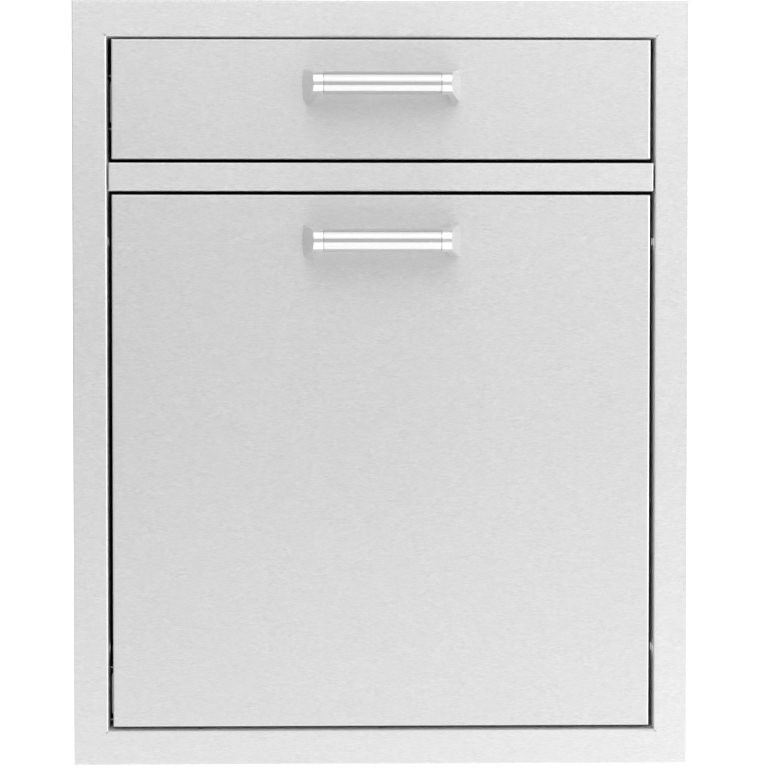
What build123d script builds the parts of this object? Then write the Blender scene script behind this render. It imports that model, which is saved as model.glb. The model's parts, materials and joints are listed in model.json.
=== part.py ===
"""Built-in outdoor kitchen unit: a top drawer above a pull-out waste-bin drawer, in one face frame.

Millimetres. X is the width, with 0 on the centre line, the front faces -Y and Z is up. The origin is
the middle of the face frame's bottom edge, on the plane of the wall that the flange lies against.
"""

import os

from build123d import *

# ---- driving dimensions ----
SHEET = 1.2  # stainless sheet
FACE_W, FACE_H = 508.0, 630.0  # outside of the face frame's flange
BORDER = 28.5  # flange width at the sides and bottom, from its outer edge to the opening
TOP_BORDER = 29.9
FACE_Y = -3.0  # front face of the flange, rail and closed fronts
HEM = 12.0  # width folded back behind the flange's outer edge
RETURN_Y = 28.0  # back edge of the frame's inward returns
CORNER_CUT = (7.0, 1.0)  # length and width of the bend relief at each corner of the opening
CABINET_Y = 520.0  # outside of the cabinet's back
LIP = 15.0  # sheet-metal lips of the cabinet and drawer boxes

RAIL_Z0, RAIL_Z1 = 474.0, 497.0  # mid rail between the two fronts
RAIL_W = 448.0
FRONT_W = 443.0
FRONT_RETURN = 18.0  # depth of a hollow front
DRAWER_FRONT_Z = (500.3, 598.15)
PULLOUT_FRONT_Z = (31.9, 470.8)
BEND = 1.5  # outside radius of the visible bends

SLIDE_LENGTH = 450.0
SLIDE_THICK = 12.7  # from the cabinet wall to the drawer box
DRAWER_SLIDE_Z, PULLOUT_SLIDE_Z = 548.0, 55.5  # middle of each pair of slides
DRAWER_BOX_Z = (512.0, 585.0)
TRAY_BOX_Z = (36.0, 100.0)
BOX_Y1 = 476.0  # back of the drawer box and of the tray
BOX_LIP = 12.0

HANDLE_DROP = 37.8  # handle's centre below its front's top edge
HANDLE_REACH = 34.0  # bar's axis in front of the front face
BAR_R = 9.5
BAR_HALF = 47.8  # to the joint between bar and end
FOOT_HALF = 65.2  # to the outer edge of an end's foot

BIN_BASE = (360.0, 185.0)
BIN_RIM = (392.0, 207.0)
BIN_LIP = 6.0
BIN_WALL = 2.0
BIN_FLOOR = 2.4
BIN_CORNER = 24.0  # radius of the bins' upright corners
BIN_SKIRT = 11.0  # depth of the lip's turned-down edge
BIN_HEIGHT = 384.0
BIN_STEP = 3.0  # how far the wall steps outwards under its upper part
BIN_STEP_HEIGHTS = (300.0, 306.0)
BIN_PITCH = 224.0
FRONT_BIN_Y = 133.5  # middle of the front bin

FIXING_HOLE_R = 3.5  # pairs of holes for the screws into the island's studs
FIXING_HOLE_Y = (8.5, 20.0)
FIXING_HOLE_Z = (95.0, 432.6)
FIXING_NOTCH = (29.0, 9.0)  # the cabinet's sides are cut back round each pair: depth and half height
RIVET_R = 2.0
RIVET_FIT = 0.05  # radial gap round a rivet's or screw's shank
SCREW_R = 2.0

# ---- worked out ----
FRONT_Y1 = FACE_Y + FRONT_RETURN  # back of a hollow front
OPEN_X = FACE_W / 2 - BORDER
OPEN_Z = (BORDER, FACE_H - TOP_BORDER)
WALL_X = OPEN_X + SHEET  # inner face of the cabinet's side walls
WALL_OUT = WALL_X + SHEET
CABINET_Z = (OPEN_Z[0] - SHEET, OPEN_Z[1] + SHEET)
BOX_X = WALL_X - SLIDE_THICK  # outer face of a drawer box's sides
SLIDE_Y0 = RETURN_Y + 0.5
SLIDE_Y1 = SLIDE_Y0 + SLIDE_LENGTH
SHELF_Z = RAIL_Z0 + SHEET
SHELF_Y1 = CABINET_Y - LIP - 2 * SHEET
BIN_Z = TRAY_BOX_Z[0] + 2 * SHEET  # bins stand on the tray's base
SIDES = {"left": -1, "right": 1}

os.makedirs("parts", exist_ok=True)


def write(part, name):
    part.label = name
    export_step(part, f"parts/{name}.step")


def slab(x, y, z, mode=Mode.ADD):
    """A box between two limits along each axis."""
    with Locations((sum(x) / 2, sum(y) / 2, sum(z) / 2)):
        Box(abs(x[1] - x[0]), abs(y[1] - y[0]), abs(z[1] - z[0]), mode=mode)


def across(half):
    """Limits from -half to +half."""
    return (-half, half)


def inset(limits, amount):
    return (limits[0] + amount, limits[1] - amount)


def bore(places, radius, depth=10.0):
    """Round holes right through the sheet at each place."""
    with Locations(*places):
        Cylinder(radius, depth, mode=Mode.SUBTRACT)


def rivet_holes(places):
    bore(places, RIVET_R + RIVET_FIT)


def rivets(places, grip=2 * SHEET):
    """Low domed rivets whose heads sit at the places, with shanks through the sheets behind."""
    with Locations(*places):
        Cylinder(RIVET_R, grip, align=(Align.CENTER, Align.CENTER, Align.MAX))
        Cone(1.9 * RIVET_R, 1.1 * RIVET_R, 1.1, align=(Align.CENTER, Align.CENTER, Align.MIN))


def on_sides(x, y_values, z_values, outward=1):
    """Places on both side walls at |x|, facing away from the middle, or towards it with outward=-1."""
    return [
        Plane(origin=(side * x, y, z), z_dir=(side * outward, 0, 0))
        for side in SIDES.values()
        for y in y_values
        for z in z_values
    ]


# Rivet places, shared by the rivets and by the holes in the sheets they join.
CORNER_RIVETS = on_sides(
    WALL_OUT + SHEET, (60, 260, 460), (CABINET_Z[0] + LIP / 2, CABINET_Z[1] - LIP / 2)
)
BACK_RIVETS = on_sides(WALL_OUT, (CABINET_Y - LIP / 2,), (100, 300, 500))
RETURN_RIVETS = on_sides(WALL_OUT, (8,), (60, 210, 340, 550))
RAIL_RIVETS = on_sides(WALL_OUT, (15,), (RAIL_Z0 + 7, RAIL_Z1 - 7))
SHELF_RIVETS = on_sides(WALL_OUT, (60, 260, 460), (SHELF_Z + 7,))
HEAD_RIVETS = [
    Plane(origin=(x, 10, z), z_dir=(0, 0, up))
    for x in (-150, 0, 150)
    for z, up in ((CABINET_Z[0] - SHEET, -1), (CABINET_Z[1] + SHEET, 1))
]
OUTER_SLIDE_RIVETS = {
    level: on_sides(WALL_OUT, (60, 250, 440), (level,))
    for level in (DRAWER_SLIDE_Z, PULLOUT_SLIDE_Z)
}
FIXING_HOLES = on_sides(WALL_X, FIXING_HOLE_Y, FIXING_HOLE_Z)

# ---- cabinet ----
with BuildPart() as face_frame:
    slab(across(FACE_W / 2), (FACE_Y, 0), (0, FACE_H))
    slab(across(FACE_W / 2 - HEM), (FACE_Y + SHEET, 0), (HEM, FACE_H - HEM), Mode.SUBTRACT)
    slab(across(WALL_X), (FACE_Y, RETURN_Y), CABINET_Z)
    slab(across(OPEN_X), (FACE_Y, RETURN_Y), OPEN_Z, Mode.SUBTRACT)
    fillet(face_frame.faces().sort_by(Axis.Y)[0].edges(), BEND)
    bore(FIXING_HOLES, FIXING_HOLE_R)
    rivet_holes(RETURN_RIVETS + RAIL_RIVETS + HEAD_RIVETS)
    for side in SIDES.values():
        for corner_z, up in zip(OPEN_Z, (-1, 1)):
            with Locations(Location((side * OPEN_X, FACE_Y, corner_z), (0, -side * up * 45, 0))):
                Box(CORNER_CUT[0], 3 * SHEET, CORNER_CUT[1], mode=Mode.SUBTRACT)
write(face_frame.part, "face_frame")

TAB_Y = 8.0  # front edge of the rail's end tabs
with BuildPart() as mid_rail:
    slab(across(RAIL_W / 2), (FACE_Y, RETURN_Y), (RAIL_Z0, RAIL_Z1))
    slab(across(OPEN_X), (TAB_Y, RETURN_Y), (RAIL_Z0, RAIL_Z1))
    slab(
        across(OPEN_X - SHEET),
        (FACE_Y + SHEET, RETURN_Y),
        inset((RAIL_Z0, RAIL_Z1), SHEET),
        Mode.SUBTRACT,
    )
    fillet(mid_rail.faces().sort_by(Axis.Y)[0].edges(), BEND * 0.7)
    rivet_holes(RAIL_RIVETS)
write(mid_rail.part, "mid_rail")

for side_name, side in SIDES.items():
    with BuildPart() as cabinet_side:
        wall_x = (side * WALL_X, side * WALL_OUT)
        slab(wall_x, (FACE_Y + SHEET, CABINET_Y), CABINET_Z)
        for z in FIXING_HOLE_Z:
            notch_z = (z - FIXING_NOTCH[1], z + FIXING_NOTCH[1])
            slab(wall_x, (FACE_Y, FIXING_NOTCH[0]), notch_z, Mode.SUBTRACT)
        rivet_holes(CORNER_RIVETS + BACK_RIVETS + RETURN_RIVETS + RAIL_RIVETS + SHELF_RIVETS)
        for slide_rivets in OUTER_SLIDE_RIVETS.values():
            rivet_holes(slide_rivets)
    write(cabinet_side.part, f"cabinet_{side_name}_side")

for end_name, face_z, up in (("bottom", CABINET_Z[0], 1), ("top", CABINET_Z[1], -1)):
    with BuildPart() as cabinet_end:
        slab(across(WALL_OUT + SHEET), (FACE_Y + SHEET, CABINET_Y), (face_z - up * SHEET, face_z))
        for side in SIDES.values():
            slab(
                (side * WALL_OUT, side * (WALL_OUT + SHEET)),
                (FACE_Y + SHEET, CABINET_Y),
                (face_z, face_z + up * LIP),
            )
        long_bends = cabinet_end.edges().filter_by(Axis.Y).group_by(Axis.Z)[0 if up > 0 else -1]
        fillet(long_bends, BEND)
        rivet_holes(CORNER_RIVETS + HEAD_RIVETS)
    write(cabinet_end.part, f"cabinet_{end_name}")

with BuildPart() as cabinet_back:
    slab(across(WALL_X), (CABINET_Y - LIP, CABINET_Y), CABINET_Z)
    slab(
        across(WALL_X - SHEET),
        (CABINET_Y - LIP, CABINET_Y - SHEET),
        inset(CABINET_Z, SHEET),
        Mode.SUBTRACT,
    )
    rivet_holes(BACK_RIVETS)
write(cabinet_back.part, "cabinet_back")

with BuildPart() as divider_shelf:
    slab(across(WALL_X), (SLIDE_Y0, SHELF_Y1), (SHELF_Z, SHELF_Z + SHEET))
    slab(across(OPEN_X - 4), (FACE_Y + 2 * SHEET, SLIDE_Y0), (SHELF_Z, SHELF_Z + SHEET))
    for side in SIDES.values():
        slab((side * OPEN_X, side * WALL_X), (SLIDE_Y0 + 2, SHELF_Y1), (SHELF_Z, SHELF_Z + BOX_LIP))
    slab(across(OPEN_X), (SHELF_Y1 - SHEET, SHELF_Y1), (SHELF_Z, SHELF_Z + BOX_LIP))
    rivet_holes(SHELF_RIVETS)
write(divider_shelf.part, "divider_shelf")

with BuildPart() as cabinet_rivets:
    rivets(CORNER_RIVETS + BACK_RIVETS + RETURN_RIVETS + SHELF_RIVETS + HEAD_RIVETS)
    rivets(RAIL_RIVETS, grip=3 * SHEET)
write(cabinet_rivets.part, "cabinet_rivets")

with BuildPart() as outer_slide_rivets:
    for slide_rivets in OUTER_SLIDE_RIVETS.values():
        rivets(slide_rivets)
write(outer_slide_rivets.part, "outer_slide_rivets")

# ---- telescopic slides: u is the distance from the cabinet wall, v is up from the slide's middle ----
CAGE = 0.6  # sheet of a ball cage
BALL_R = 2.0
CAGE_LENGTH = 220.0
CAGE_Y0 = SLIDE_Y0 + 114.0
BALL_PITCH = 45.0
STOP_LENGTH = 5.0
LEVER_Y = 205.0  # release lever's pivot, with the slide closed
LEVER_LENGTH = 55.0
LEVER_U = (8.4, 10.0)
PIN_R = 1.5


def slide_channel(side, level, web_u, lip_u, half, y, sheet=SHEET):
    """A C-shaped channel along Y, its web nearest the wall or the drawer and its lips at lip_u."""

    def at(u, v):
        return (side * (WALL_X - u), level + v)

    middle, reach = web_u + sheet / 2, half - sheet / 2
    with BuildSketch(Plane.XZ.offset(-y[1])) as profile:
        with BuildLine():
            FilletPolyline(
                at(lip_u, reach),
                at(middle, reach),
                at(middle, -reach),
                at(lip_u, -reach),
                radius=sheet,
            )
        trace(line_width=sheet)
    extrude(profile.sketch, amount=y[1] - y[0])


def web_slots(side, level, u, y_values, size=(26, 8)):
    """Long holes through the web of a slide member."""
    with BuildSketch(Plane.YZ.offset(side * (WALL_X - u))) as slots:
        with Locations(*[(y, level) for y in y_values]):
            SlotOverall(*size)
    extrude(slots.sketch, amount=SHEET, both=True, mode=Mode.SUBTRACT)


def ball_cages(level, web_u, lip_u, ball_u, row_v):
    """Both sides' cages for one race, with their steel balls."""
    ball_y = [CAGE_Y0 + CAGE_LENGTH / 2 + BALL_PITCH * step for step in (-2, -1, 0, 1, 2)]
    centres = [
        (side * (WALL_X - ball_u), y, level + v)
        for side in SIDES.values()
        for y in ball_y
        for v in (-row_v, row_v)
    ]
    for side in SIDES.values():
        cage_y = (CAGE_Y0, CAGE_Y0 + CAGE_LENGTH)
        slide_channel(side, level, web_u, lip_u, row_v + CAGE / 2, cage_y, sheet=CAGE)
    with Locations(*centres):
        Cylinder(BALL_R + 0.1, 4 * CAGE, mode=Mode.SUBTRACT)
        Sphere(BALL_R)


LEVELS = {"drawer": DRAWER_SLIDE_Z, "pullout": PULLOUT_SLIDE_Z}
INNER_SLIDE_RIVETS = {
    name: on_sides(BOX_X - SHEET, (60, 270, 430), (level,), outward=-1)
    for name, level in LEVELS.items()
}

for unit, level in LEVELS.items():
    for side_name, side in SIDES.items():
        with BuildPart() as outer_slide:
            outer_y = (SLIDE_Y0, SLIDE_Y1 + STOP_LENGTH + 1)
            slide_channel(side, level, 0, 10, 22.5, outer_y)
            web_slots(side, level, SHEET / 2, (110, 200, 300, 390))
            rivet_holes(OUTER_SLIDE_RIVETS[level])
        write(outer_slide.part, f"{unit}_{side_name}_outer_slide")

        with BuildPart() as middle_slide:
            slide_channel(side, level, 2.2, 10.4, 17.1, (SLIDE_Y0, SLIDE_Y1))
            web_slots(side, level, 2.8, (50, 90, 405, 445))
        write(middle_slide.part, f"{unit}_{side_name}_middle_slide")

        with BuildPart() as inner_slide:
            inner_web = SLIDE_THICK - SHEET
            slide_channel(side, level, inner_web, 4.6, 11.7, (SLIDE_Y0, SLIDE_Y1))
            rivet_holes(INNER_SLIDE_RIVETS[unit])
        write(inner_slide.part, f"{unit}_{side_name}_inner_slide")

        lever_x = sorted(side * (WALL_X - u) for u in LEVER_U)
        with BuildPart() as release_lever:
            with BuildSketch(Plane.YZ.offset(lever_x[0])):
                with Locations((LEVER_Y, level)):
                    Circle(4.5)
                with Locations((LEVER_Y - LEVER_LENGTH / 2, level)):
                    Rectangle(LEVER_LENGTH, 5)
                with Locations((LEVER_Y - LEVER_LENGTH, level)):
                    RectangleRounded(14, 8, 2)
                with Locations((LEVER_Y, level)):
                    Circle(PIN_R + RIVET_FIT, mode=Mode.SUBTRACT)
            extrude(amount=lever_x[1] - lever_x[0])
        write(release_lever.part, f"{unit}_{side_name}_release_lever")

    with BuildPart() as lever_pins:
        for place in on_sides(WALL_X - SLIDE_THICK + SHEET, (LEVER_Y,), (level,)):
            with Locations(place):
                base = (Align.CENTER, Align.CENTER, Align.MIN)
                Cylinder(PIN_R, 4.4, align=base)
                Cylinder(2.6, 1.3, align=base)
            with Locations(place.offset(3.3)):
                Cylinder(2.6, 1.1, align=base)
    write(lever_pins.part, f"{unit}_lever_pins")

    with BuildPart() as outer_cages:
        ball_cages(level, 1.4, 8.5, 6.0, 19.2)
    write(outer_cages.part, f"{unit}_outer_ball_cages")

    with BuildPart() as inner_cages:
        ball_cages(level, 3.7, 10.5, 7.5, 13.8)
    write(inner_cages.part, f"{unit}_inner_ball_cages")

with BuildPart() as slide_bumpers:
    for level in LEVELS.values():
        for side in SIDES.values():
            slab(
                (side * (WALL_X - SHEET), side * (WALL_X - 9.4)),
                (SLIDE_Y1 + 0.5, SLIDE_Y1 + 0.5 + STOP_LENGTH),
                (level - 14, level + 14),
            )
    fillet(slide_bumpers.edges().filter_by(Axis.X), 2)
write(slide_bumpers.part, "slide_bumpers")

# ---- fronts ----
HANDLE_SCREW_X = 59.5
HANDLE_SCREW_DEPTH = 9.0
HANDLE_LEVELS = {
    "drawer": DRAWER_FRONT_Z[1] - HANDLE_DROP,
    "pullout": PULLOUT_FRONT_Z[1] - HANDLE_DROP,
}
FRONT_LIMITS = {"drawer": DRAWER_FRONT_Z, "pullout": PULLOUT_FRONT_Z}
BOX_LIMITS = {"drawer": DRAWER_BOX_Z, "pullout": TRAY_BOX_Z}
FLANGE_X = BOX_X - SHEET - BOX_LIP / 2  # middle of the lips that join a box to its front
GUSSET_Z = (70.0, 330.0)
GUSSET_Y = 125.0
GUSSET_RIVETS_Z = (125, 220, 312)
FRONT_RIVETS_Z = {
    "drawer": (DRAWER_BOX_Z[0] + 12, DRAWER_BOX_Z[1] - 17),
    "pullout": (TRAY_BOX_Z[0] + 12, TRAY_BOX_Z[1] - 17) + GUSSET_RIVETS_Z,
}
FRONT_RIVETS = {
    unit: [
        Plane(origin=(side * FLANGE_X, FRONT_Y1 + SHEET, z), z_dir=(0, 1, 0))
        for side in SIDES.values()
        for z in z_values
    ]
    for unit, z_values in FRONT_RIVETS_Z.items()
}

for unit, (z0, z1) in FRONT_LIMITS.items():
    screws = [
        Plane(origin=(side * HANDLE_SCREW_X, FACE_Y + SHEET, HANDLE_LEVELS[unit]), z_dir=(0, 1, 0))
        for side in SIDES.values()
    ]
    with BuildPart() as front_skin:
        slab(across(FRONT_W / 2), (FACE_Y, FRONT_Y1), (z0, z1))
        slab(
            across(FRONT_W / 2 - SHEET),
            (FACE_Y + SHEET, FRONT_Y1),
            inset((z0, z1), SHEET),
            Mode.SUBTRACT,
        )
        fillet(front_skin.faces().sort_by(Axis.Y)[0].edges(), BEND)
        bore(screws, SCREW_R + 4 * RIVET_FIT)
    write(front_skin.part, f"{unit}_front_skin")

    with BuildPart() as front_liner:
        liner_z = inset((z0, z1), SHEET)
        slab(across(FRONT_W / 2 - SHEET), (FRONT_Y1 - 9, FRONT_Y1), liner_z)
        slab(
            across(FRONT_W / 2 - 2 * SHEET),
            (FRONT_Y1 - 9, FRONT_Y1 - SHEET),
            inset(liner_z, SHEET),
            Mode.SUBTRACT,
        )
        rivet_holes(FRONT_RIVETS[unit])
        # Openings that a screwdriver reaches the handle's screws through.
        bore([screw.offset(FRONT_RETURN) for screw in screws], 7, depth=2 * FRONT_RETURN)
    write(front_liner.part, f"{unit}_front_liner")

    with BuildPart() as handle_screws:
        with Locations(*screws):
            Cylinder(
                SCREW_R,
                SHEET + HANDLE_SCREW_DEPTH,
                align=(Align.CENTER, Align.CENTER, Align.MAX),
            )
            Cylinder(4, 2.6, align=(Align.CENTER, Align.CENTER, Align.MIN))
    write(handle_screws.part, f"{unit}_handle_screws")

# ---- handles ----
BAR_BORE = 8.0
SPIGOT = 12.0
BAR_Y = FACE_Y - HANDLE_REACH
SPLAY = 0.216  # how far the end's outer face leans out for each millimetre towards the front panel
FLARE = 0.125  # the same for its top and bottom faces
FOOT_BASE_HALF = 13.25
FOOT_THICK = 8.8
FOOT_BOW = 1.4  # rise of the curved outer edge of the foot


def handle_foot(depth, level, bow):
    """Section of an end's foot, at a distance in front of the front panel."""
    outer = FOOT_HALF - SPLAY * depth
    inner = FOOT_HALF - FOOT_THICK - SPLAY * depth / 2
    half = FOOT_BASE_HALF - FLARE * depth
    with BuildSketch(Plane.XZ.offset(-FACE_Y + depth)) as section:
        with BuildLine():
            Polyline(
                (outer - bow, level + half),
                (inner, level + half),
                (inner, level - half),
                (outer - bow, level - half),
            )
            ThreePointArc(
                (outer - bow, level - half), (outer, level), (outer - bow, level + half)
            )
        make_face()
    return section.sketch


for unit, level in HANDLE_LEVELS.items():
    with BuildPart() as handle_bar:
        with BuildSketch(Plane.YZ):
            with Locations((BAR_Y, level)):
                Circle(BAR_R)
                Circle(BAR_BORE, mode=Mode.SUBTRACT)
        extrude(amount=BAR_HALF, both=True)
        rims = handle_bar.edges().filter_by(GeomType.CIRCLE)
        chamfer(rims.filter_by(lambda rim: rim.radius > BAR_R - 0.1), 0.5)
    write(handle_bar.part, f"{unit}_handle_bar")

    with BuildPart() as handle_ends:
        with BuildSketch(Plane.YZ.offset(BAR_HALF)):
            with Locations((BAR_Y, level)):
                Circle(BAR_R)
        extrude(amount=FOOT_HALF - BAR_HALF)
        chamfer(handle_ends.edges().sort_by(Axis.X)[0], 0.5)
        # The outer face leans inwards towards the user, so the bar's end is cut on the slant.
        with BuildSketch(Plane.XY.offset(level - BAR_R)):
            with BuildLine():
                front = BAR_Y - BAR_R - 5
                Polyline(
                    (FOOT_HALF, FACE_Y),
                    (FOOT_HALF + 5, FACE_Y),
                    (FOOT_HALF + 5, front),
                    (FOOT_HALF - SPLAY * (FACE_Y - front), front),
                    close=True,
                )
            make_face()
        extrude(amount=2 * BAR_R, mode=Mode.SUBTRACT)
        foot_top = handle_foot(HANDLE_REACH + 3, level, FOOT_BOW / 5)
        loft([handle_foot(0, level, FOOT_BOW), foot_top])
        with BuildSketch(Plane.YZ.offset(BAR_HALF)):
            with Locations((BAR_Y, level)):
                Circle(BAR_BORE - RIVET_FIT)
        extrude(amount=-SPIGOT)
        with Locations((HANDLE_SCREW_X, FACE_Y - HANDLE_SCREW_DEPTH / 2, level)):
            Cylinder(
                SCREW_R + RIVET_FIT,
                HANDLE_SCREW_DEPTH + 1,
                rotation=(90, 0, 0),
                mode=Mode.SUBTRACT,
            )
        mirror(about=Plane.YZ)
    write(handle_ends.part, f"{unit}_handle_ends")

# ---- drawer box and bin tray ----
TOP_HEM = 6.0


def box_rivets(limits):
    """Rivets of a box: under the base, and through the back's lips."""
    under = [
        Plane(origin=(side * FLANGE_X, y, limits[0]), z_dir=(0, 0, -1))
        for side in SIDES.values()
        for y in (60, 240, 420)
    ]
    back_z = (limits[0] + 9, limits[1] - 14)
    return under, on_sides(BOX_X - 2 * SHEET, (BOX_Y1 - BOX_LIP / 2 - SHEET,), back_z, outward=-1)


TRAY_RIM_Y = GUSSET_Y + 5  # the tray's rolled rims start behind the gussets
LIP_X = BOX_X - SHEET - BOX_LIP  # inner edge of a box side's lips
BOX_NAMES = {"drawer": ("drawer", "drawer_bottom"), "pullout": ("tray", "tray_base")}
GUSSET_RIVETS = on_sides(BOX_X - 2 * SHEET, (40, 105), (82,), outward=-1)

for unit, (z0, z1) in BOX_LIMITS.items():
    box_name, base_name = BOX_NAMES[unit]
    under_rivets, back_rivets = box_rivets((z0, z1))

    for side_name, side in SIDES.items():
        with BuildPart() as box_side:
            web = BOX_X - SHEET / 2
            with BuildSketch(Plane.XZ.offset(-BOX_Y1)):
                with BuildLine():
                    FilletPolyline(
                        (side * LIP_X, z0 + SHEET / 2),
                        (side * web, z0 + SHEET / 2),
                        (side * web, z1 - SHEET / 2),
                        (side * (LIP_X + 4), z1 - SHEET / 2),
                        (side * (LIP_X + 4), z1 - TOP_HEM),
                        radius=SHEET,
                    )
                trace(line_width=SHEET)
            extrude(amount=BOX_Y1 - FRONT_Y1)
            if unit == "pullout":
                slab(
                    (side * (LIP_X - 1), side * (BOX_X - SHEET)),
                    (FRONT_Y1, TRAY_RIM_Y),
                    (z1 - TOP_HEM - 1, z1),
                    Mode.SUBTRACT,
                )
                rivet_holes(GUSSET_RIVETS)
            slab(
                (side * LIP_X, side * (BOX_X - SHEET)),
                (FRONT_Y1, FRONT_Y1 + SHEET),
                (z0 + 2 * SHEET, z1 - TOP_HEM - 2),
            )
            rivet_holes(FRONT_RIVETS[unit] + under_rivets + back_rivets)
            rivet_holes(INNER_SLIDE_RIVETS[unit])
        write(box_side.part, f"{box_name}_{side_name}_side")

    with BuildPart() as box_base:
        slab(across(BOX_X - 2), (FRONT_Y1, BOX_Y1), (z0 + SHEET, z0 + 2 * SHEET))
        rivet_holes(under_rivets)
    write(box_base.part, base_name)

    with BuildPart() as box_back:
        back_z = (z0 + 2 * SHEET, z1 - TOP_HEM - 1)
        slab(across(BOX_X - SHEET), (BOX_Y1 - BOX_LIP - SHEET, BOX_Y1), back_z)
        slab(
            across(BOX_X - 2 * SHEET),
            (BOX_Y1 - BOX_LIP - SHEET, BOX_Y1 - SHEET),
            back_z,
            Mode.SUBTRACT,
        )
        rivet_holes(back_rivets)
    write(box_back.part, f"{box_name}_back")

    with BuildPart() as unit_rivets:
        rivets(FRONT_RIVETS[unit] + under_rivets + back_rivets + INNER_SLIDE_RIVETS[unit])
        if unit == "pullout":
            rivets(GUSSET_RIVETS)
    write(unit_rivets.part, f"{unit}_rivets")

for side_name, side in SIDES.items():
    with BuildPart() as gusset:
        plate_x = sorted((side * (BOX_X - SHEET), side * (BOX_X - 2 * SHEET)))
        foot_z = TRAY_BOX_Z[1] - 3
        with BuildSketch(Plane.YZ.offset(plate_x[0])):
            with BuildLine():
                Polyline(
                    (FRONT_Y1 + SHEET, GUSSET_Z[0]),
                    (GUSSET_Y, GUSSET_Z[0]),
                    (GUSSET_Y, TRAY_BOX_Z[1] - 10),
                    (FRONT_Y1 + 14, GUSSET_Z[1]),
                    (FRONT_Y1, GUSSET_Z[1]),
                    (FRONT_Y1, foot_z),
                    (FRONT_Y1 + SHEET, foot_z),
                    close=True,
                )
            make_face()
            with Locations((FRONT_Y1 + 32, 160)):
                Circle(11, mode=Mode.SUBTRACT)
        extrude(amount=SHEET)
        slab(
            (side * LIP_X, side * (BOX_X - SHEET)),
            (FRONT_Y1, FRONT_Y1 + SHEET),
            (foot_z, GUSSET_Z[1]),
        )
        rivet_holes(GUSSET_RIVETS + FRONT_RIVETS["pullout"])
    write(gusset.part, f"{side_name}_gusset")

# ---- waste bins ----
RIM_Z = BIN_Z + BIN_HEIGHT


def bin_section(z, size, middle_y, radius):
    """A rounded rectangle of a bin, at a height."""
    with BuildSketch(Plane.XY.offset(z)) as section:
        with Locations((0, middle_y)):
            RectangleRounded(*size, radius)
    return section.sketch


def bin_wall(middle_y, floor, shrink):
    """Sections of a bin's tapered wall, from a height above its underside up to its rim."""
    sections = []
    for height, steps in ((floor, 0), (BIN_STEP_HEIGHTS[0], 0), (BIN_STEP_HEIGHTS[1], 1), (BIN_HEIGHT, 1)):
        size = [
            base + (rim - 2 * BIN_STEP - base) * height / BIN_HEIGHT + 2 * BIN_STEP * steps - 2 * shrink
            for base, rim in zip(BIN_BASE, BIN_RIM)
        ]
        sections.append(bin_section(BIN_Z + height, size, middle_y, BIN_CORNER - shrink))
    return sections


for bin_name, middle_y in (("front", FRONT_BIN_Y), ("rear", FRONT_BIN_Y + BIN_PITCH)):
    lip_size = [rim + 2 * BIN_LIP for rim in BIN_RIM]
    lip_bore_size = [size - 2 * BIN_WALL for size in lip_size]
    lip_radius = BIN_CORNER + BIN_LIP
    with BuildPart() as waste_bin:
        loft(bin_wall(middle_y, 0, 0), ruled=True)
        extrude(bin_section(RIM_Z - BIN_WALL, lip_size, middle_y, lip_radius), amount=BIN_WALL)
        skirt = bin_section(RIM_Z - BIN_SKIRT, lip_size, middle_y, lip_radius)
        skirt_bore = bin_section(RIM_Z - BIN_SKIRT, lip_bore_size, middle_y, lip_radius - BIN_WALL)
        extrude(skirt - skirt_bore, amount=BIN_SKIRT)
        loft(bin_wall(middle_y, BIN_FLOOR, BIN_WALL), ruled=True, mode=Mode.SUBTRACT)
    write(waste_bin.part, f"{bin_name}_bin")
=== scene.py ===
"""Looks for the built-in drawer and waste-bin pull-out: camera, studio light and materials."""

import json
import math

import bpy
from mathutils import Euler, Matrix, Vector

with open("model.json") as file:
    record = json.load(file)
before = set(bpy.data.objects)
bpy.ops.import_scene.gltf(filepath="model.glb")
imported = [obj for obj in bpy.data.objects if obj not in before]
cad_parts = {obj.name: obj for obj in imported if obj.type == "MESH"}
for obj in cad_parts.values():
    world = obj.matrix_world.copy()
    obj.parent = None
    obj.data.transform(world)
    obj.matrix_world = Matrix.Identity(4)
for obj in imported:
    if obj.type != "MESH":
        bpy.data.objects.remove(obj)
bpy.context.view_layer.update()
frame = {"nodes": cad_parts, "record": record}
NODES = frame["nodes"]

# ---- camera ----
SENSOR_WIDTH_MM, LENS_MM = 36.0, 140.634
CAMERA_AT = Vector((-0.0606, -2.479, 0.4071))
CAMERA_YAW, CAMERA_PITCH = 0.0248, -0.03745  # radians
NEAREST, FARTHEST = 0.05, 50


def add_camera():
    data = bpy.data.cameras.new("camera")
    data.sensor_width = SENSOR_WIDTH_MM
    data.lens = LENS_MM
    data.dof.use_dof = False
    data.clip_start, data.clip_end = NEAREST, FARTHEST
    camera = bpy.data.objects.new("camera", data)
    camera.location = CAMERA_AT
    camera.rotation_euler = Euler((math.pi / 2 + CAMERA_PITCH, 0, -CAMERA_YAW), "XYZ")
    bpy.context.scene.collection.objects.link(camera)
    bpy.context.scene.camera = camera


# ---- studio ----
WHITE = (1, 1, 1, 1)
WORLD_STRENGTH = 1.43
FLOOR_X = FLOOR_Y = (-8.0, 8.0)
FLOOR_Z = -0.0005  # just under the foot of the unit
FLOOR_GREY, FLOOR_ROUGHNESS, FLOOR_GLOW = 0.35, 0.9, 1.07


def add_world():
    world = bpy.data.worlds.new("studio")
    world.use_nodes = True
    background = world.node_tree.nodes["Background"]
    background.inputs["Color"].default_value = WHITE
    background.inputs["Strength"].default_value = WORLD_STRENGTH
    bpy.context.scene.world = world


def add_area(name, place, target, size, power):
    data = bpy.data.lights.new(name, "AREA")
    data.shape = "RECTANGLE"
    data.size, data.size_y = size
    data.energy = power
    light = bpy.data.objects.new(name, data)
    light.location = place
    light.rotation_euler = (Vector(target) - Vector(place)).to_track_quat("-Z", "Y").to_euler()
    bpy.context.scene.collection.objects.link(light)
    light.visible_camera = False


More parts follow.
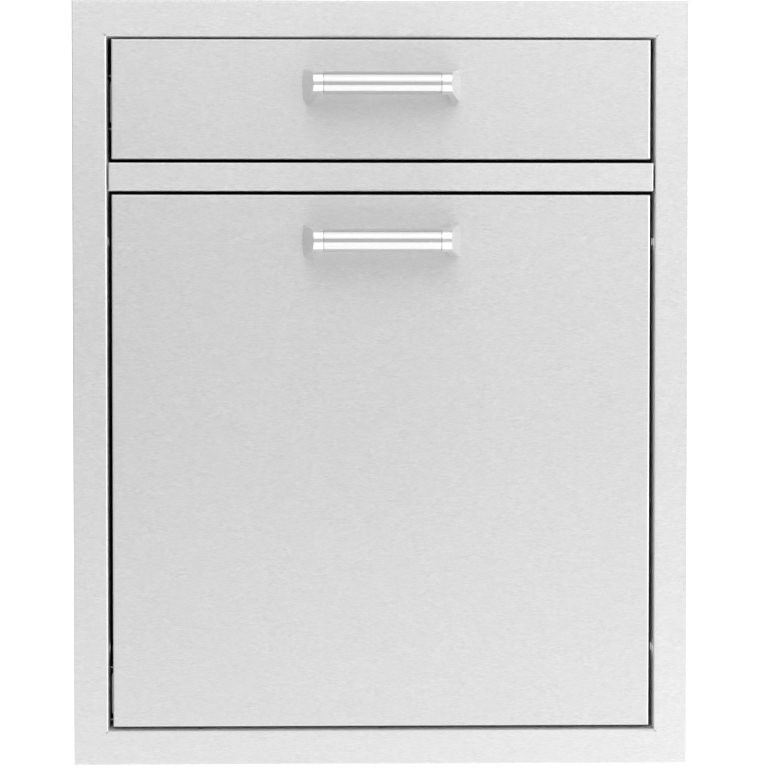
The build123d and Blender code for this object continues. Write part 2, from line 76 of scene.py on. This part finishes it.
def rectangle(x, y, z):
    """The corners of a level or upright rectangle: two of x, y and z are ranges, the third is a number."""
    spans = (x, y, z)
    first, second = (axis for axis, span in enumerate(spans) if isinstance(span, tuple))
    corners = []
    for end_of_first, end_of_second in ((0, 0), (1, 0), (1, 1), (0, 1)):
        corner = list(spans)
        corner[first] = spans[first][end_of_first]
        corner[second] = spans[second][end_of_second]
        corners.append(corner)
    return corners


def plane(name, corners, material):
    mesh = bpy.data.meshes.new(name)
    mesh.from_pydata(corners, [], [range(len(corners))])
    mesh.materials.append(material)
    made = bpy.data.objects.new(name, mesh)
    bpy.context.scene.collection.objects.link(made)
    return made


def glowing_material(name, grey, roughness):
    """A plain grey material that gives off white light. Its caller sets the Emission Strength."""
    material = bpy.data.materials.new(name)
    material.use_nodes = True
    shader = material.node_tree.nodes["Principled BSDF"]
    shader.inputs["Base Color"].default_value = (grey, grey, grey, 1)
    shader.inputs["Roughness"].default_value = roughness
    shader.inputs["Emission Color"].default_value = WHITE
    return material, shader


def card(name, corners, brightness):
    """A glowing board, like a photographer's card: the camera doesn't see it, but the metal reflects it.

    Its brightness is one number, or one at its left edge and one at its right edge.
    """
    material, shader = glowing_material(name, 0, 1.0)
    shader.inputs["Specular IOR Level"].default_value = 0
    if isinstance(brightness, tuple):
        nodes, links = material.node_tree.nodes, material.node_tree.links
        split = nodes.new("ShaderNodeSeparateXYZ")
        ramp = nodes.new("ShaderNodeMapRange")
        links.new(nodes.new("ShaderNodeTexCoord").outputs["Generated"], split.inputs[0])
        links.new(split.outputs["X"], ramp.inputs["Value"])
        ramp.inputs["To Min"].default_value, ramp.inputs["To Max"].default_value = brightness
        links.new(ramp.outputs["Result"], shader.inputs["Emission Strength"])
    else:
        shader.inputs["Emission Strength"].default_value = brightness
    board = plane(name, corners, material)
    board.visible_camera = False
    board.visible_shadow = False


def add_floor():
    material, shader = glowing_material("floor_white", FLOOR_GREY, FLOOR_ROUGHNESS)
    shader.inputs["Emission Strength"].default_value = FLOOR_GLOW
    plane("floor", rectangle(FLOOR_X, FLOOR_Y, FLOOR_Z), material)


def add_studio():
    """A white studio: grey cards in front, above and on the left give the metal its soft bands."""
    add_world()
    add_floor()
    card("front_card", rectangle((-1.2, 1.2), -1.15, (0, 0.77)), brightness=(0.31, 1.07))
    card("back_card", rectangle((-1.5, 1.5), (-0.14, 1.2), 1.4), brightness=0.60)
    card("left_card", rectangle(-1.3, (-1.1, 0.4), (0, 1.1)), brightness=0.55)
    add_area("overhead", place=(0, -0.95, 1.3), target=(0, 0, 0.5), size=(2.4, 0.5), power=2.5)
    add_area("key_right", place=(1.6, -1.0, 0.9), target=(0, 0, 0.3), size=(1.6, 1.7), power=31)
    add_area("side_right", place=(1.5, -0.25, 0.45), target=(0.25, 0, 0.3), size=(0.5, 0.9), power=3)


# ---- materials ----
METALLIC = 0.92
GRAIN_TILT = 0.04
FINE_GRAIN, SHORT_GRAIN, LONG_GRAIN = (800, 1600), (260, 1150), (60, 1100)  # along and across, per metre
FINE_SWING, SHORT_SWING, LONG_SWING, CLOUD_SWING = 0.04, 0.07, 0.015, 0.012
PATCH_SCALE, PATCH_WEAKEST, PATCH_STRONGEST = (40, 40, 90), 0.35, 1.65  # where the grain fades and deepens
GLOSS_SPREAD = 0.1
GRAIN_BUMP, GRAIN_HEIGHT = 0.2, 0.00003
BRUSHED_TO = -0.0012  # depth where the brushing ends, 1.8 mm behind the faces of the fronts
MILL_BLEND = 0.001  # depth over which the brushed finish gives way to the mill finish
MILL_COLOUR, MILL_ROUGHNESS, MILL_METALLIC = (0.82, 0.82, 0.82), 0.5, 0.45
MIX_SOCKETS = {"FLOAT": (2, 3, 0), "RGBA": (6, 7, 2)}  # a Mix node's two inputs and its output


class Nodes:
    """A short way to make and join shader nodes."""

    def __init__(self, name):
        self.material = bpy.data.materials.new(name)
        self.material.use_nodes = True
        self.tree = self.material.node_tree
        self.shader = self.tree.nodes["Principled BSDF"]

    def add(self, kind, settings=None, **inputs):
        node = self.tree.nodes.new(kind)
        for key, value in (settings or {}).items():
            setattr(node, key, value)
        for key, value in inputs.items():
            self.put(value, node.inputs[key.replace("_", " ")])
        return node

    def put(self, value, socket):
        """Links a socket to another, or sets it."""
        if isinstance(value, bpy.types.NodeSocket):
            self.tree.links.new(value, socket)
        else:
            socket.default_value = value

    def link(self, source, name):
        self.tree.links.new(source, self.shader.inputs[name])

    def place(self, scale):
        """Object coordinates in metres, stretched by a scale along each axis."""
        coordinates = self.add("ShaderNodeTexCoord").outputs["Object"]
        return self.add("ShaderNodeMapping", Vector=coordinates, Scale=scale).outputs["Vector"]

    def noise(self, scale, detail=2.0):
        made = self.add("ShaderNodeTexNoise", Vector=self.place(scale), Scale=1.0, Detail=detail)
        return made.outputs["Fac"]

    def grain(self, along, lengths):
        """A noise drawn out along one axis, with its scales along and across that axis."""
        scale_along, scale_across = lengths
        return self.noise(tuple(scale_along if axis == along else scale_across for axis in "XYZ"))

    def spread(self, source, low, high, from_low=0.25, from_high=0.75):
        """Maps a value onto a range. By default, the value is taken to span what a noise mostly gives."""
        made = self.add(
            "ShaderNodeMapRange",
            Value=source,
            From_Min=from_low,
            From_Max=from_high,
            To_Min=low,
            To_Max=high,
        )
        return made.outputs["Result"]

    def math(self, operation, a, b):
        node = self.tree.nodes.new("ShaderNodeMath")
        node.operation = operation
        for socket, value in zip(node.inputs, (a, b)):
            self.put(value, socket)
        return node.outputs[0]

    def mix(self, factor, a, b, kind="FLOAT"):
        """Blends two numbers, or two colours where the kind is RGBA."""
        made = self.add("ShaderNodeMix", {"data_type": kind})
        input_a, input_b, output = MIX_SOCKETS[kind]
        for index, value in ((0, factor), (input_a, a), (input_b, b)):
            self.put(value, made.inputs[index])
        return made.outputs[output]

    def tint(self, colour, factor):
        """The colour, brightened or darkened by a factor that varies over the surface."""
        made = self.add("ShaderNodeVectorMath", {"operation": "SCALE"}, Scale=factor)
        made.inputs[0].default_value = colour
        return made.outputs["Vector"]

    def depth(self):
        """How far back a point lies, in metres."""
        coordinates = self.add("ShaderNodeTexCoord").outputs["Object"]
        return self.add("ShaderNodeSeparateXYZ", Vector=coordinates).outputs["Y"]

    def across(self, along):
        """The direction in the surface at right angles to its grain.

        The grain axis is tilted by GRAIN_TILT, because on faces square to it the direction would vanish.
        """
        normal = self.add("ShaderNodeNewGeometry").outputs["Normal"]
        made = self.add("ShaderNodeVectorMath", {"operation": "CROSS_PRODUCT"})
        self.tree.links.new(normal, made.inputs[0])
        made.inputs[1].default_value = tuple(1.0 if axis == along else GRAIN_TILT for axis in "XYZ")
        unit = self.add("ShaderNodeVectorMath", {"operation": "NORMALIZE"})
        self.tree.links.new(made.outputs["Vector"], unit.inputs[0])
        return unit.outputs["Vector"]


def brushed_metal(name, colour, roughness, along="X", grain=1.0, anisotropy=0.6, brushed_to=None):
    """Sheet metal with fine short grain lines along one axis, which spread its gloss across them.

    Behind the depth brushed_to, the sheet keeps its duller mill finish.
    """
    n = Nodes(name)
    fine, short, long = (n.grain(along, lengths) for lengths in (FINE_GRAIN, SHORT_GRAIN, LONG_GRAIN))
    patches = n.spread(n.noise(PATCH_SCALE), PATCH_WEAKEST, PATCH_STRONGEST)
    cloud = n.noise((6, 6, 6), detail=3)
    swing = n.math("MULTIPLY", n.spread(short, -SHORT_SWING * grain, SHORT_SWING * grain), patches)
    for source, reach in ((fine, FINE_SWING * grain), (long, LONG_SWING * grain), (cloud, CLOUD_SWING)):
        swing = n.math("ADD", swing, n.spread(source, -reach, reach))
    tone = n.tint(colour, n.math("ADD", swing, 1.0))
    gloss = n.spread(short, roughness * (1 - GLOSS_SPREAD), roughness * (1 + GLOSS_SPREAD))
    if brushed_to is None:
        n.link(tone, "Base Color")
        n.link(gloss, "Roughness")
        n.shader.inputs["Metallic"].default_value = METALLIC
    else:
        mill = n.spread(n.depth(), 0.0, 1.0, brushed_to, brushed_to + MILL_BLEND)
        n.link(n.mix(mill, tone, (*MILL_COLOUR, 1), "RGBA"), "Base Color")
        n.link(n.mix(mill, gloss, MILL_ROUGHNESS), "Roughness")
        n.link(n.mix(mill, METALLIC, MILL_METALLIC), "Metallic")
    n.shader.inputs["Anisotropic"].default_value = anisotropy
    n.link(n.across(along), "Tangent")
    bump = n.add("ShaderNodeBump", Strength=GRAIN_BUMP * grain, Distance=GRAIN_HEIGHT, Height=short)
    n.link(bump.outputs["Normal"], "Normal")
    return n.material


def moulded_plastic(name, colour, roughness, scale=1800):
    """Plastic with a fine even moulded texture."""
    n = Nodes(name)
    pebble = n.noise((scale,) * 3, detail=1)
    cloud = n.noise((9, 9, 9), detail=3)
    n.link(n.tint(colour, n.spread(cloud, 0.93, 1.07)), "Base Color")
    n.link(n.spread(pebble, roughness - 0.06, roughness + 0.06), "Roughness")
    bump = n.add("ShaderNodeBump", Strength=0.35, Distance=0.0002, Height=pebble)
    n.link(bump.outputs["Normal"], "Normal")
    return n.material


def stainless(name, brightness):
    """The visible sheets: brushed in front, plain mill finish on the folds behind."""
    return brushed_metal(name, (brightness,) * 3, 0.40, anisotropy=0.75, brushed_to=BRUSHED_TO)


def plain_steel(name, brightness, roughness, anisotropy=0.0):
    """Small bright parts with only a faint grain."""
    return brushed_metal(name, (brightness,) * 3, roughness, grain=0.3, anisotropy=anisotropy)


def finishes_by_slot():
    return {
        "stainless": stainless("stainless_fronts", 0.575),
        "cabinet_sheet": brushed_metal("sheet_mill", (0.42, 0.425, 0.43), 0.38, "Y", anisotropy=0.3),
        "handle_steel": plain_steel("handle_polished", 0.60, 0.13, anisotropy=0.3),
        "slide_steel": brushed_metal("slide_zinc", (0.42, 0.425, 0.435), 0.3, "Y", grain=0.6, anisotropy=0.2),
        "cage_steel": brushed_metal("cage_plated", (0.5, 0.51, 0.52), 0.25, "Y", grain=0.3, anisotropy=0.0),
        "rivets": plain_steel("rivet_steel", 0.55, 0.28),
        "lever_plastic": moulded_plastic("lever_black", (0.025, 0.025, 0.027), 0.5, 2500),
        "bumper_rubber": moulded_plastic("bumper_black", (0.02, 0.02, 0.02), 0.75, 1200),
        "bin_plastic": moulded_plastic("bin_charcoal", (0.045, 0.047, 0.051), 0.5),
    }


def finishes_by_node():
    """The finishes of nodes that differ from the rest of their material slot."""
    # The face frame and mid rail use the front stainless painted about 5% brighter (0.605 against 0.575).
    # This is painted light: it stands in for the extra light that the frame catches.
    frame_painted_lighter = stainless("stainless_frame_painted_lighter", 0.605)
    cast = plain_steel("handle_cast", 0.70, 0.17)
    return {
        "face_frame": frame_painted_lighter,
        "mid_rail": frame_painted_lighter,
        "drawer_handle_ends": cast,
        "pullout_handle_ends": cast,
    }


def dress():
    """Gives every CAD node its finish."""
    slots = {entry["node"]: entry["material_slot"] for entry in frame["record"]["subparts"]}
    by_slot, by_node = finishes_by_slot(), finishes_by_node()
    for node, shown in NODES.items():
        material = by_node.get(node, by_slot[slots[node]])
        if not shown.data.materials:
            shown.data.materials.append(material)
        for slot in shown.material_slots:
            slot.material = material


add_camera()
add_studio()
dress()
bpy.context.scene.view_settings.view_transform = "Standard"
